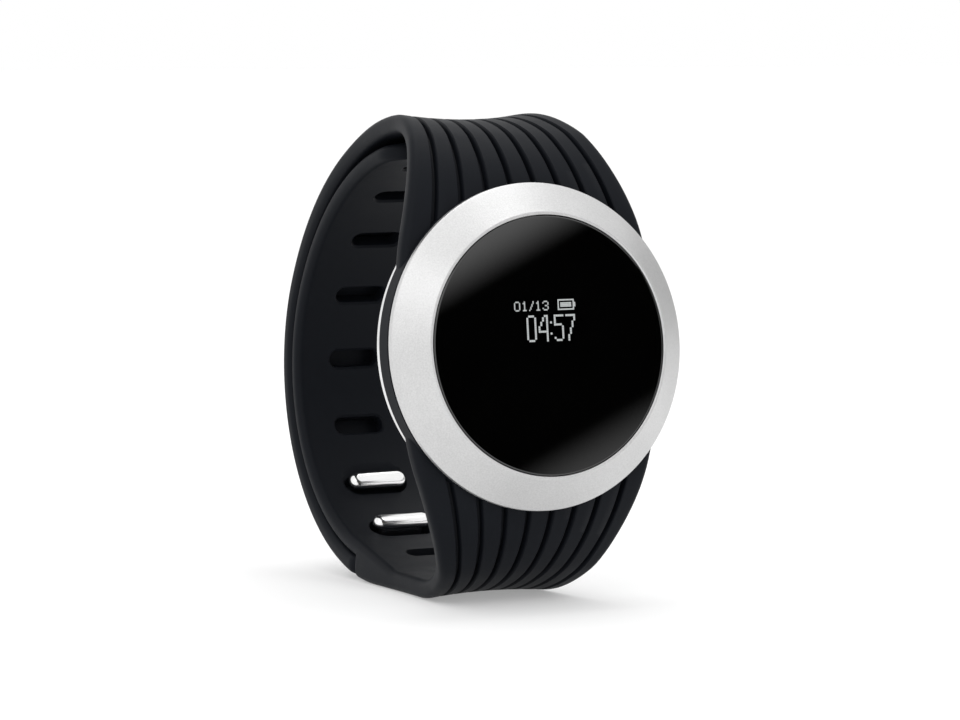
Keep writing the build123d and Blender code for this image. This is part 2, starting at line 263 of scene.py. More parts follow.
def circuitBoard():
    made = Finish("circuitBoard")
    tracks = made.node("ShaderNodeTexBrick", {"offset": 0.5}, {
        "Vector": made.place, "Scale": 700.0, "Mortar Size": 0.03,
        "Color1": (0.01, 0.11, 0.04, 1), "Color2": (0.012, 0.14, 0.05, 1),
        "Mortar": (0.05, 0.24, 0.09, 1)})
    made.feed("Base Color", tracks.outputs["Color"])
    weave = made.noise(900, 2.0)
    made.feed("Roughness", 0.28 + weave * 0.2)
    made.bump(weave, 0.02, 0.4)
    return made.material


def displayGlow():
    made = Finish("displayGlow", Roughness=0.4)
    shimmer = made.noise(2400, 2.0)
    made.feed("Base Color", made.blendColour(shimmer, grey(0.05), grey(0.08)))
    dim, bright = (0.80, 0.86, 0.86, 1), (0.94, 0.98, 0.98, 1)
    made.feed("Emission Color", made.blendColour(shimmer, dim, bright))
    made.shader.inputs["Emission Strength"].default_value = 0.48
    return made.material


finishes = {
    "silver": beadBlastedSilver(),
    "polished": polishedSilver(),
    "glass": blackGlass(),
    "silicone": softSilicone(),
    "chrome": mirrorChrome(),
    "steel": brushedSteel(),
    "motor": brushedSteel("sinteredMetal", 0.42),
    "black": mouldedPlastic("blackPlastic", grey(0.02)),
    "chip": mouldedPlastic("chipBlack", grey(0.016), 0.6, 6000),
    "panel": mouldedPlastic("panelBlack", grey(0.003), 0.3, 900),
    "pouch": mouldedPlastic("batteryPouch", grey(0.55), 0.35, 700),
    "seal": sealRubber(),
    "gold": goldPlate(),
    "copper": goldPlate("copperFoil", (0.72, 0.40, 0.2, 1)),
    "board": circuitBoard(),
    "glow": displayGlow(),
}
print("finishes made:", len(finishes))


def newPiece(name, points, faces, finish, body=None, nodes=(), slotName=None, sharp=40):
    mesh = bpy.data.meshes.new(name)
    mesh.from_pydata(points, [], faces)
    shell = bmesh.new()
    shell.from_mesh(mesh)
    bmesh.ops.remove_doubles(shell, verts=shell.verts, dist=0.002 * mm)
    bmesh.ops.recalc_face_normals(shell, faces=shell.faces)
    shell.to_mesh(mesh)
    shell.free()
    return settle(bpy.data.objects.new(name, mesh), finish, body, nodes, sharp)


def settle(piece, finish, body=None, nodes=(), sharp=40):    # its finish, shading and place
    mesh = piece.data
    mesh.materials.clear()
    mesh.materials.append(finishes[finish])
    mesh.shade_smooth()
    mesh.set_sharp_from_angle(angle=radians(sharp))
    if piece.name not in scene.collection.objects:
        scene.collection.objects.link(piece)
    if nodes:
        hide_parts(*nodes)
    if body:
        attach(piece, body)
    return piece


def rounded(corners, steps=5):       # an outline with an arc at each corner (a, b, radius) that has a radius
    outline = []
    for number, (a, b, radius) in enumerate(corners):
        here = Vector((a, b))
        before = Vector(corners[number - 1][:2]) - here
        after = Vector(corners[(number + 1) % len(corners)][:2]) - here
        room = min(before.length, after.length)
        before.normalize()
        after.normalize()
        half = before.angle(after) / 2
        if radius == 0:
            outline.append(here)
            continue
        away = radius / sin(half)
        middle = here + (before + after).normalized() * away
        first = here + before * away * cos(half) - middle
        last = here + after * away * cos(half) - middle
        reach = away * cos(half) + 0.04
        if reach < room / 2:         # a point just off the arc keeps the flat next to it flat
            outline.append(here + before * reach)
        for step in range(steps + 1):
            spoke = first.lerp(last, step / steps)
            outline.append(middle + spoke.normalized() * radius)
        if reach < room / 2:
            outline.append(here + after * reach)
    return outline


def turned(name, corners, finish, body, nodes, slotName, segments=200):    # corners are (radius, out, easing)
    outline = rounded(corners)
    points, faces = [], []
    for spoke in range(segments):
        angle = 2 * pi * spoke / segments
        for radius, out in outline:
            points.append(onFace(radius * cos(angle), radius * sin(angle), out))
    count = len(outline)
    for spoke in range(segments):
        for step in range(count):
            here, along = spoke * count + step, spoke * count + (step + 1) % count
            nextHere = (here + count) % len(points)
            nextAlong = (along + count) % len(points)
            faces.append((here, along, nextAlong, nextHere))
    return newPiece(name, points, faces, finish, body, nodes, slotName)


# the straps' side view, in mm, as (y, z) from the middle of the bezel's rim plane
loop = {
    "tilt": 6.0, "frontDepth": 1.0, "thickness": 2.3, "rootHeight": 9.0, "rootRadius": 18.72,
    "backY": 27.8, "backZ": -5.4, "backRadius": 25.1, "topRadius": 37.4, "topAngle": 25.3,
    "topShoulder": 15.5, "bottomShoulder": 15.0, "height": 30.5,
    "slottedThickness": 2.0, "slottedTopRadius": 33.5, "slottedEnd": 84.0,
    "tailEnd": -79.0, "stepAngle": -79.7, "rampStart": 22.0, "layerGap": 0.2, "rootBlend": 14,
}
railSteps = {"plain": 0.8, "fine": 0.5, "floor": 0.9}    # mm along a rail between its points
tilt = radians(loop["tilt"])
backCentre = (loop["backY"], loop["backZ"])
thick = loop["thickness"]


def onCircle(centre, radius, angle):
    return (centre[0] + radius * cos(radians(angle)), centre[1] + radius * sin(radians(angle)))


def onSide(depth, height):
    return (depth * cos(tilt) + height * sin(tilt), height * cos(tilt) - depth * sin(tilt))


def place(x, side):                  # a point of the side view, at x across the band
    return faceCentre + Vector((x, side[0], side[1])) * mm


topCentre = onCircle(backCentre, loop["backRadius"] - loop["topRadius"], loop["topAngle"])
slottedRadius = loop["backRadius"] - thick - loop["layerGap"]
slottedCentre = onCircle(backCentre, slottedRadius - loop["slottedTopRadius"], loop["topAngle"])
topReach = topCentre[0] * cos(tilt) - topCentre[1] * sin(tilt) - loop["frontDepth"] - loop["topShoulder"]
shoulderOffset = loop["topRadius"] - loop["topShoulder"]
shoulderAngle = 90 - loop["tilt"] + degrees(asin(topReach / shoulderOffset))
shoulderCentre = onCircle(topCentre, shoulderOffset, shoulderAngle)
bottomHeight = loop["bottomShoulder"] - loop["height"]
bottomReach = loop["frontDepth"] + loop["bottomShoulder"] + bottomHeight * sin(tilt)
bottomCentre = (bottomReach / cos(tilt), bottomHeight)
floorZ = -loop["height"]
faceAngle = 180 - loop["tilt"]


# rails are pairs of points of the side view, one on the wall's outer face and one on its inner face
def arcRails(centre, outerRadius, innerRadius, start, end, step):
    count = max(1, round(abs(end - start) * radians(1) * outerRadius / step))
    angles = [start + (end - start) * number / count for number in range(count + 1)]
    return [(onCircle(centre, outerRadius, angle), onCircle(centre, innerRadius, angle)) for angle in angles]


def wallPair(centre, radius, angle):
    return (onCircle(centre, radius, angle), onCircle(centre, radius - thick, angle))


def wallRails(centre, radius, start, end, step):
    return arcRails(centre, radius, radius - thick, start, end, step)


def rootPair(height):
    return (onSide(loop["frontDepth"], height), onSide(loop["frontDepth"] + thick, height))


def lineRails(first, last, step):
    count = max(1, round(hypot(last[0][0] - first[0][0], last[0][1] - first[0][1]) / step))
    rails = []
    for number in range(count + 1):
        part = number / count
        rails.append(tuple(
            tuple(a + (b - a) * part for a, b in zip(start, end)) for start, end in zip(first, last)))
    return rails


class Rails:                         # runs of rails end to end, measured along the outer one
    def __init__(self, *runs):
        self.pairs = [pair for run in runs for pair in run[(0 if run is runs[0] else 1):]]
        self.lengths = [0.0]
        for before, after in zip(self.pairs, self.pairs[1:]):
            step = hypot(after[0][0] - before[0][0], after[0][1] - before[0][1])
            self.lengths.append(self.lengths[-1] + max(step, 0.002))     # no step has no length
        self.whole = self.lengths[-1]

    def at(self, distance):
        distance = min(max(distance, 0), self.whole)
        low, high = 0, len(self.lengths) - 1
        while high - low > 1:
            middle = (low + high) // 2
            if self.lengths[middle] <= distance:
                low = middle
            else:
                high = middle
        part = (distance - self.lengths[low]) / (self.lengths[high] - self.lengths[low])
        return [
            Vector(self.pairs[low][side]).lerp(Vector(self.pairs[high][side]), part) for side in (0, 1)]


def ramp(value, stops):              # straight lines between stops (value, result)
    if value <= stops[0][0]:
        return stops[0][1]
    for (a, low), (b, high) in zip(stops, stops[1:]):
        if value <= b:
            return low + (high - low) * (value - a) / (b - a)
    return stops[-1][1]


def softRamp(value, stops, spread):
    return sum(ramp(value + spread * shift / 2, stops) for shift in (-2, -1, 0, 1, 2)) / 5


# what one groove does across its width: place from its middle, and depth, as parts of its own size
grooveShape = [(-1.4, 0), (-1.05, 0.1), (-0.85, 0.42), (-0.7, 0.86), (-0.45, 1), (0, 1.03),
               (0.45, 1), (0.7, 0.86), (0.85, 0.42), (1.05, 0.1), (1.4, 0)]
# the most of the wall that a groove and a rounded edge take, and what a dish takes of its bend
wallShares = {"groove": 0.4, "edge": 0.45, "dish": 0.7}


def bandColumns(ribs, edgeSteps=5, plainSteps=14):
    columns = []                     # (kind, part of half width, place in a groove, its depth, edge angle)
    for step in range(edgeSteps, 0, -1):
        columns.append(("edge", -1, 0, 0, 90 * step / edgeSteps))
    if ribs:
        for groove in range(1, ribs):
            middle = -1 + 2 * groove / ribs
            if groove == 1:
                columns.append(("edge", -1, 0, 0, 0))
            columns.append(("plain", middle - 1 / ribs, 0, 0, 0))
            columns += [("groove", middle, where, deep, 0) for where, deep in grooveShape]
        columns.append(("plain", 1 - 1 / ribs, 0, 0, 0))
    else:
        columns.append(("edge", -1, 0, 0, 0))
        columns += [("plain", -1 + 2 * step / plainSteps, 0, 0, 0) for step in range(2, plainSteps - 1)]
    for step in range(edgeSteps + 1):
        columns.append(("edge", 1, 0, 0, 90 * step / edgeSteps))
    return columns


def band(name, rails, rows, shape, finish, rooted=False):    # a closed strip, its section following the shape
    columns = bandColumns(shape["ribs"])
    sheets = ([], [])

    def section(column, distance):   # how far across the band, and how deep in the wall
        kind, part, where, deep, angle = column
        half = shape["half"](distance)
        edge = min(shape["edge"], half * 0.8)
        if kind == "edge":
            return part * (half - edge + edge * sin(radians(angle))), edge * (1 - cos(radians(angle)))
        x = part * half + where * shape["grooveHalf"](distance)
        limit = half - edge
        return max(-limit, min(limit, x)), deep * shape["grooveDepth"](distance)

    for row in rows:
        for column in columns:
            distance = row
            if rooted and row < loop["rootBlend"]:     # the root's end follows the hoop's edge
                start = 0.0
                for attempt in range(8):
                    x = section(column, start)[0]
                    start = max(0.0, sqrt(loop["rootRadius"] ** 2 - x * x) - loop["rootHeight"])
                distance = row + start * (1 - row / loop["rootBlend"])
            x, deep = section(column, distance)
            outer, inner = rails.at(distance)
            wall = (inner - outer).length
            toward = (inner - outer) / wall
            half = shape["half"](distance)
            bend = shape["crown"](distance)
            crown = max(bend, 0) * ((x / half) ** 2 - 1 / 3)     # a crown carries the whole wall with it
            dish = max(-bend, 0) * (1 - (x / half) ** 2)         # a dish is only in the outer face
            cut = min(deep, wall * wallShares["groove"])
            inset = min(abs(deep), wall * wallShares["edge"]) if column[0] == "edge" else 0
            sheets[0].append(place(x, outer + toward * (cut + crown + dish * wallShares["dish"])))
            sheets[1].append(place(x, inner - toward * (inset - crown)))
    points = sheets[0] + sheets[1]
    count, total, faces = len(columns), len(sheets[0]), []
    for row in range(len(rows) - 1):
        for column in range(count - 1):
            a = row * count + column
            faces.append((a, a + 1, a + 1 + count, a + count))
            faces.append((total + a + count, total + a + 1 + count, total + a + 1, total + a))
        for a in (row * count, row * count + count - 1):
            faces.append((a, a + count, total + a + count, total + a))
    for first in (0, (len(rows) - 1) * count):
        for column in range(count - 1):
            a = first + column
            faces.append((a, a + 1, total + a + 1, total + a))
    return newPiece(name, points, faces, finish)


def stadium(centre, normal, levels, steps=10):       # levels are (half length, half width, height)
    rise = Vector((0, normal[0], normal[1])).normalized()
    along = rise.cross(across)
    points, faces = [], []
    for halfLength, halfWidth, height in levels:
        for end in (1, -1):
            for step in range(steps + 1):
                angle = radians(90 - 180 * step / steps)
                x = end * (halfLength - halfWidth + halfWidth * cos(angle))
                y = end * halfWidth * sin(angle)
                points.append(centre + (across * x + along * y + rise * height) * mm)
    count = 2 * (steps + 1)
    for level in range(len(levels) - 1):
        for step in range(count):
            a, b = level * count + step, level * count + (step + 1) % count
            faces.append((a, b, b + count, a + count))
    faces.append(tuple(range(count)))
    faces.append(tuple(range(len(points) - count, len(points))))
    return points, faces


def joined(solids):
    points, faces = [], []
    for somePoints, someFaces in solids:
        faces += [tuple(number + len(points) for number in face) for face in someFaces]
        points += somePoints
    return points, faces


def applyModifiers(piece):
    bpy.context.view_layer.update()
    evaluated = piece.evaluated_get(bpy.context.evaluated_depsgraph_get())
    mesh = bpy.data.meshes.new_from_object(evaluated)
    piece.modifiers.clear()
    piece.data = mesh


def carve(piece, solids):
    cutter = newPiece("cutter", *joined(solids), "silicone")
    cut = piece.modifiers.new("cut", "BOOLEAN")
    cut.object = cutter
    cut.solver = "EXACT"
    applyModifiers(piece)
    bpy.data.objects.remove(cutter)


# half width and crown by mm along each strap from its root; a crown below 0 is a dish
upper = {
    "half": [(0, 16.5), (3, 16.0), (7, 15.0), (10.8, 13.9), (14.4, 12.8), (18.2, 11.6), (22, 10.5),
             (24.8, 9.8), (30, 9.0), (36, 8.4), (42, 8.0)],
    "crown": [(0, 0.6), (5, 1.0), (10, 1.2), (14, 0.7), (18, 0.0), (22, -0.7), (26, -1.2), (40, -0.9),
              (58, 0)],
    "ribFade": (46, 66), "endRound": 1.6,
}
lower = {
    "half": [(0, 16.5), (3, 15.8), (7, 14.7), (11.5, 13.2), (15, 12.0), (17, 11.2), (20, 10.2), (22, 9.5),
             (28, 8.7), (36, 8.1), (44, 8.0)],
    "crown": [(0, 0.7), (5, 1.2), (12, 1.4), (15, 1.0), (19, 0.0), (22, -0.6), (28, -0.8), (36, 0)],
    "ribFade": (30, 40), "endRound": 4.0,
}
ribbing = {"ribs": 9, "edge": 0.85, "width": [(0, 0.8), (14, 0.66), (26, 0.5)], "depth": 1.05,
           "rowStep": 0.9, "softening": 3}    # the depth sets the sides' slope, the wall's share the bottom


def strapShape(strap, whole):
    def half(distance):
        full = softRamp(distance, strap["half"], ribbing["softening"])
        ending = strap["endRound"]
        left = whole - distance
        if left >= ending:
            return full
        return full - ending + sqrt(max(0, ending ** 2 - (ending - left) ** 2)) + 0.01

    fadeStart, fadeEnd = strap["ribFade"]
    return {
        "ribs": ribbing["ribs"], "edge": ribbing["edge"], "half": half,
        "grooveHalf": lambda distance: ramp(distance, ribbing["width"]) / 2,
        "grooveDepth": lambda distance: ribbing["depth"] * ramp(distance, [(fadeStart, 1), (fadeEnd, 0)]),
        "crown": lambda distance: softRamp(distance, strap["crown"], ribbing["softening"]),
    }


def rowsFor(rails, step, endRound):  # even along the strap, and closer round its end
    count = round(rails.whole / step)
    rows = [rails.whole * number / count for number in range(count + 1)]
    close = [rails.whole - endRound * (1 - cos(radians(angle))) for angle in range(90, 0, -12)]
    return sorted(set([row for row in rows if row < rails.whole - endRound] + close + [rails.whole]))


topShoulder, bottomShoulder = loop["topShoulder"], loop["bottomShoulder"]
upperRails = Rails(
    lineRails(
        rootPair(loop["rootHeight"]), wallPair(shoulderCentre, topShoulder, faceAngle), railSteps["plain"]),
    wallRails(shoulderCentre, topShoulder, faceAngle, shoulderAngle, railSteps["fine"]),
    wallRails(topCentre, loop["topRadius"], shoulderAngle, loop["topAngle"], railSteps["plain"]),
    wallRails(backCentre, loop["backRadius"], loop["topAngle"], loop["tailEnd"], railSteps["plain"]),
)
upperShape = strapShape(upper, upperRails.whole)
upperRows = rowsFor(upperRails, ribbing["rowStep"], upper["endRound"])
upperStrap = band("upperStrap", upperRails, upperRows, upperShape, "silicone", rooted=True)
print("upper strap made, mm long:", round(upperRails.whole))

# the thick part of the lower strap: its inner face leaves the floor by a straight ramp, up to the back circle
innerRadius = slottedRadius - loop["slottedThickness"]
rampFrom = (loop["rampStart"], floorZ + thick)
toCentre = (backCentre[0] - rampFrom[0], backCentre[1] - rampFrom[1])
slope = atan2(toCentre[1], toCentre[0]) - asin(innerRadius / hypot(*toCentre))
rampEnd = degrees(slope) - 90


def rampAt(angle):                   # where the ramp's line meets a spoke of the back circle
    spoke = (cos(radians(angle)), sin(radians(angle)))
    offset = toCentre[0] * sin(slope) - toCentre[1] * cos(slope)
    reach = offset / (spoke[1] * cos(slope) - spoke[0] * sin(slope))
    return (backCentre[0] + spoke[0] * reach, backCentre[1] + spoke[1] * reach)


def rampRails(start, end, count):
    angles = [start + (end - start) * number / count for number in range(count + 1)]
    return [(onCircle(backCentre, loop["backRadius"], angle), rampAt(angle)) for angle in angles]


def spokeAngle(point):               # the back circle's angle at a point of the side view
    return degrees(atan2(point[1] - backCentre[1], point[0] - backCentre[0]))


# the notch where the tail tucks in, with its corners eased: degrees from its middle, and mm down
notchEase = [(-0.5, 0.0), (-0.22, 0.12), (-0.08, 0.4), (0.0, 0.8), (0.05, 2.1), (0.2, 2.42), (0.6, 2.5)]
notch = []
for turn, drop in notchEase:
    angle = loop["stepAngle"] + turn
    notch.append((onCircle(backCentre, loop["backRadius"] - drop, angle), rampAt(angle)))
notchStart, notchEnd = loop["stepAngle"] + notchEase[0][0], loop["stepAngle"] + notchEase[-1][0]

slottedRails = []
for outer, inner in arcRails(
        backCentre, slottedRadius, innerRadius, notchEnd, loop["topAngle"], railSteps["plain"]):
    onRamp = spokeAngle(outer) < rampEnd
    slottedRails.append((outer, rampAt(spokeAngle(outer)) if onRamp else inner))
slottedTop = loop["slottedTopRadius"]
slottedTopInner = slottedTop - loop["slottedThickness"]
rampPair = ((loop["rampStart"], floorZ), rampFrom)
lowerRails = Rails(
    lineRails(
        rootPair(-loop["rootHeight"]), wallPair(bottomCentre, bottomShoulder, faceAngle), railSteps["plain"]),
    wallRails(bottomCentre, bottomShoulder, faceAngle, 270, railSteps["fine"]),
    lineRails(((bottomCentre[0], floorZ), (bottomCentre[0], floorZ + thick)), rampPair, railSteps["floor"]),
    lineRails(rampPair, ((backCentre[0], floorZ), rampAt(-90)), railSteps["floor"]),
    rampRails(-90, notchStart, 6),
    notch,
    slottedRails,
    arcRails(
        slottedCentre, slottedTop, slottedTopInner, loop["topAngle"], loop["slottedEnd"], railSteps["plain"]),
)
lowerShape = strapShape(lower, lowerRails.whole)
notchRows = [length for length, pair in zip(lowerRails.lengths, lowerRails.pairs) if pair in notch]
lowerRows = sorted(set(rowsFor(lowerRails, ribbing["rowStep"], lower["endRound"]) + notchRows))
lowerStrap = band("lowerStrap", lowerRails, lowerRows, lowerShape, "silicone", rooted=True)

# the slots, by degrees round the back circle: studs stretch the engaged ones, and number 0 is a blind pocket
slots = {
    "first": -91.5, "step": 23.4, "count": 9, "engaged": (1, 2), "free": (6.7, 2.15), "stretched": (8.3, 3.5),
    "ease": 0.22, "past": 1.2, "pocket": 1.6,
}
pullAngle = slots["first"] + slots["step"] * sum(slots["engaged"]) / len(slots["engaged"])


def slotCut(number):
    angle = slots["first"] + number * slots["step"]
    length, breadth = slots["stretched"] if number in slots["engaged"] else slots["free"]
    centre, radius = backCentre, innerRadius
    if angle > loop["topAngle"]:     # the pitch stays the same in the middle of the wall
        middleHeight = loop["slottedThickness"] / 2
        further = (angle - loop["topAngle"]) * (innerRadius + middleHeight) / (slottedTop - middleHeight)
        angle = loop["topAngle"] + further
        centre, radius = slottedCentre, slottedTopInner
    direction = pullAngle if number in slots["engaged"] else angle
    depth = slots["pocket"] if number == 0 else loop["slottedThickness"]
    ease, past = slots["ease"], slots["past"]
    flare = [(-past, past + ease), (0, ease), (ease, 0), (depth - ease, 0)]     # (height, how much wider)
    if number:
        flare += [(depth, ease), (depth + past, past + ease)]
    levels = [(length / 2 + wider, breadth / 2 + wider, height) for height, wider in flare]
    middle = onCircle(centre, radius, angle)
    return stadium(place(0, middle), onCircle((0, 0), 1, direction), levels)


carve(lowerStrap, [slotCut(number) for number in range(slots["count"])])
settle(lowerStrap, "silicone", "strap", ["lower_strap"])
print("lower strap made, mm long:", round(lowerRails.whole), "slots:", slots["count"])

hoop = {"bore": 17.15, "edge": 18.9, "top": -1.04, "bottom": -3.26}
turned("strapHoop", [
    (hoop["bore"], hoop["top"], 0.3), (hoop["edge"], hoop["top"], 0.1),
    (hoop["edge"], hoop["bottom"], 0.1), (hoop["bore"], hoop["bottom"], 0.3)],
    "silicone", "strap", ["strap_hoop"], "strap_silicone")

clasp = {
    "from": -37.0, "to": -76.0, "half": 4.5, "thickness": 0.6, "corner": 1.6, "edge": 0.2,
    "seat": 0.06, "neck": (3.0, 0.85), "head": (3.85, 1.15), "headHeight": 1.3, "studRoot": 0.3,
    "clearance": 0.1, "headEase": 0.2, "dome": 0.8, "rows": 18,
}


def plateRails(gap):                 # with a gap these are the seat's, which stand out past the strap's face
    turn = degrees(gap / loop["backRadius"])
    return Rails(arcRails(
        backCentre, loop["backRadius"] + gap * 4, loop["backRadius"] - clasp["thickness"] - gap,
        clasp["from"] + turn, clasp["to"] - turn, railSteps["fine"]))


def nothing(distance):
    return 0


def plateShape(rails, gap):
    corner = clasp["corner"]

    def half(distance):
        left = min(distance, rails.whole - distance, corner)
        return clasp["half"] + gap - corner + sqrt(max(0, corner ** 2 - (corner - left) ** 2)) + 0.01

    return {"ribs": 0, "edge": clasp["edge"], "half": half,
            "grooveHalf": nothing, "grooveDepth": nothing, "crown": nothing}


def plateRows(rails):
    corner = clasp["corner"]
    ends = [corner * (1 - cos(radians(angle))) for angle in range(0, 91, 15)]
    count = clasp["rows"]
    middle = [corner + (rails.whole - 2 * corner) * number / count for number in range(1, count)]
    return ends + middle + [rails.whole - end for end in reversed(ends)]


seatRails = plateRails(clasp["seat"])
seatShape = plateShape(seatRails, clasp["seat"])
seatCutter = band("seatCutter", seatRails, plateRows(seatRails), seatShape, "silicone")
seatPoints = [point.co.copy() for point in seatCutter.data.vertices]
seatFaces = [tuple(face.vertices) for face in seatCutter.data.polygons]
bpy.data.objects.remove(seatCutter)
carve(upperStrap, [(seatPoints, seatFaces)])
settle(upperStrap, "silicone", None, ["upper_strap", "strap_tail"])
flex = {"angle": -11, "length": 9.5}         # the stretch above the clasp where the tail bends away; here only the point at its top is found
blendTop = place(0, onCircle(backCentre, loop["backRadius"], flex["angle"]))
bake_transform(upperStrap)

claspRails = plateRails(0)
claspPlate = band("claspPlate", claspRails, plateRows(claspRails), plateShape(claspRails, 0), "steel")
settle(claspPlate, "steel", "tail", ["clasp_plate"])


def domed(half, height, radius):
    levels = []
    for step in range(0, 91, 15):
        inward = radius * (1 - cos(radians(step)))
        levels.append((half[0] - inward, half[1] - inward, height - radius + radius * sin(radians(step))))
    return levels


def stud(number):                    # a neck through the slot and a wider head behind it
    angle = slots["first"] + number * slots["step"]
    foot = loop["backRadius"] - clasp["thickness"]
    neckTop = foot - innerRadius + clasp["clearance"]
    neck, head, ease = clasp["neck"], clasp["head"], clasp["headEase"]
    levels = [(neck[0], neck[1], -clasp["studRoot"]), (neck[0], neck[1], neckTop),
              (head[0] - ease, head[1] - ease, neckTop), (head[0], head[1], neckTop + ease)]
    levels += domed(head, neckTop + clasp["headHeight"], clasp["dome"])
    return stadium(place(0, onCircle(backCentre, foot, angle)), onCircle((0, 0), 1, angle + 180), levels)


newPiece("claspStuds", *joined([stud(number) for number in slots["engaged"]]), "chrome", "tail",
         ["clasp_studs"], "clasp_chrome", 50)
print("clasp made")

module = {                           # radii, and how far out from the bezel's rim plane
    "rim": 19.0, "rimThickness": 0.8, "rise": 2.9, "lip": 0.42, "lens": 15.0, "lensThickness": 1.2,
    "lensGap": 0.08, "glue": 0.1, "ledge": 0.8, "ledgeThickness": 0.7, "waist": 17.0, "bore": 16.65,
    "rearRing": 18.6, "rearTop": -3.5, "rearBottom": -4.6,
}
lens, rise = module["lens"], module["rise"]
lensBottom = rise - module["lensThickness"]
seat = lensBottom - module["glue"]
ledgeBottom = seat - module["ledgeThickness"]
pocket, ledge = lens + module["lensGap"], lens - module["ledge"]
turned("bezel", [
    (module["rim"], 0, 0.25), (lens + module["lip"], rise, 0.12), (pocket, rise, 0.08), (pocket, seat, 0),
    (ledge, seat, 0), (ledge, ledgeBottom, 0), (module["bore"], ledgeBottom, 0),
    (module["bore"], -module["rimThickness"], 0), (module["rim"], -module["rimThickness"], 0.25)],
    "silver", "module", ["bezel"], "silver_aluminium")
turned("rearRing", [
    (module["waist"], module["rearTop"], 0), (module["rearRing"], module["rearTop"], 0.3),
    (module["rearRing"], module["rearBottom"], 0.3), (module["waist"], module["rearBottom"], 0)],
    "polished", "module", ["rear_ring"], "silver_aluminium")
turned("frontLens", [(0, lensBottom, 0), (0, rise, 0), (lens, rise, 0.16), (lens, lensBottom, 0)],
       "glass", "module", ["lens"], "front_glass")
print("module made")

# the lit tiles of the display, row by row from the top
bigGlyphs = {
    "0": [".###."] + ["#...#"] * 10 + [".###."],
    "4": ["...##"] + ["..#.#"] * 2 + [".#..#"] * 2 + ["#...#"] * 2 + ["#####"] + ["....#"] * 4,
    "5": ["#####"] + ["#...."] * 3 + ["####."] + ["....#"] * 5 + ["#...#", ".###."],
    "7": ["#####"] + ["....#"] * 2 + ["...#."] * 3 + ["..#.."] * 3 + [".#..."] * 3,
    ":": ["."] * 3 + ["#"] + ["."] * 4 + ["#"] + ["."] * 3,
}
smallGlyphs = {
    "0": [".###."] + ["#...#"] * 5 + [".###."],
    "1": ["..#..", ".##.."] + ["..#.."] * 4 + [".###."],
    "3": [".###.", "#...#", "....#", "..##.", "....#", "#...#", ".###."],
    "/": ["...#", "...#", "..#.", "..#.", ".#..", ".#..", "#..."],
}
batteryIcon = ["############.", "#..........#."] + ["#.########.##"] * 3 + ["#..........#.", "############."]


def written(words, glyphs):          # letters side by side, a column apart
    height = len(glyphs[words[0]])
    return [".".join(glyphs[letter][row] for letter in words) for row in range(height)]


display = {
    "time": {"tile": 0.256, "middle": (0.25, 2.0), "rows": written("04:57", bigGlyphs)},
    "date": {"tile": 0.161, "middle": (-2.2, 4.6), "rows": written("01/13", smallGlyphs)},
    "battery": {"tile": 0.18, "middle": (2.4, 4.65), "rows": batteryIcon},
}
tiling = {"thickness": 0.02, "fill": 0.9}    # fill is the lit part of a tile's pitch


def dotPlaces(rows, pitch, middle):
    wide, high = len(rows[0]), len(rows)
    places = []
    for row, line in enumerate(rows):
        for column, dot in enumerate(line):
            if dot == "#":
                x = middle[0] + (column - (wide - 1) / 2) * pitch
                places.append(Vector((x, middle[1] + ((high - 1) / 2 - row) * pitch, rise)) * mm)
    return places


def tileTree():                      # sets a flat tile on every point
    tree = bpy.data.node_groups.new("displayTiles", "GeometryNodeTree")
    face = tree.interface
    face.new_socket("Geometry", in_out="INPUT", socket_type="NodeSocketGeometry")
    sockets = {}
    for name, kind in (("Tile Size", "Float"), ("Tile Thickness", "Float"), ("Finish", "Material")):
        made = face.new_socket(name, in_out="INPUT", socket_type="NodeSocket" + kind)
        sockets[name] = made.identifier
    face.new_socket("Geometry", in_out="OUTPUT", socket_type="NodeSocketGeometry")
    nodes, links = tree.nodes, tree.links
    start, end = nodes.new("NodeGroupInput"), nodes.new("NodeGroupOutput")
    size = nodes.new("ShaderNodeCombineXYZ")
    tile = nodes.new("GeometryNodeMeshCube")
    spread = nodes.new("GeometryNodeInstanceOnPoints")
    real = nodes.new("GeometryNodeRealizeInstances")
    paint = nodes.new("GeometryNodeSetMaterial")
    links.new(start.outputs["Tile Size"], size.inputs["X"])
    links.new(start.outputs["Tile Size"], size.inputs["Y"])
    links.new(start.outputs["Tile Thickness"], size.inputs["Z"])
    links.new(size.outputs[0], tile.inputs["Size"])
    links.new(start.outputs["Geometry"], spread.inputs["Points"])
    links.new(tile.outputs["Mesh"], spread.inputs["Instance"])
    links.new(spread.outputs[0], real.inputs[0])
    links.new(real.outputs[0], paint.inputs["Geometry"])
    links.new(start.outputs["Finish"], paint.inputs["Material"])
    links.new(paint.outputs[0], end.inputs[0])
    return tree, sockets


tree, sockets = tileTree()
standing = Matrix.Translation(faceCentre) @ Matrix((across, upward, outward)).transposed().to_4x4()
for name, part in display.items():
    dots = dotPlaces(part["rows"], part["tile"], part["middle"])
    mesh = bpy.data.meshes.new(name)
    mesh.from_pydata(dots, [], [])
    piece = bpy.data.objects.new(name + "Pixels", mesh)
    scene.collection.objects.link(piece)
    grow = piece.modifiers.new("tiles", "NODES")
    grow.node_group = tree
    grow[sockets["Tile Size"]] = part["tile"] * tiling["fill"] * mm
    grow[sockets["Tile Thickness"]] = tiling["thickness"] * mm
    grow[sockets["Finish"]] = finishes["glow"]
    applyModifiers(piece)
    piece.data.transform(standing)
    settle(piece, "glow", "module", ())
    print(name, "tiles:", len(dots))

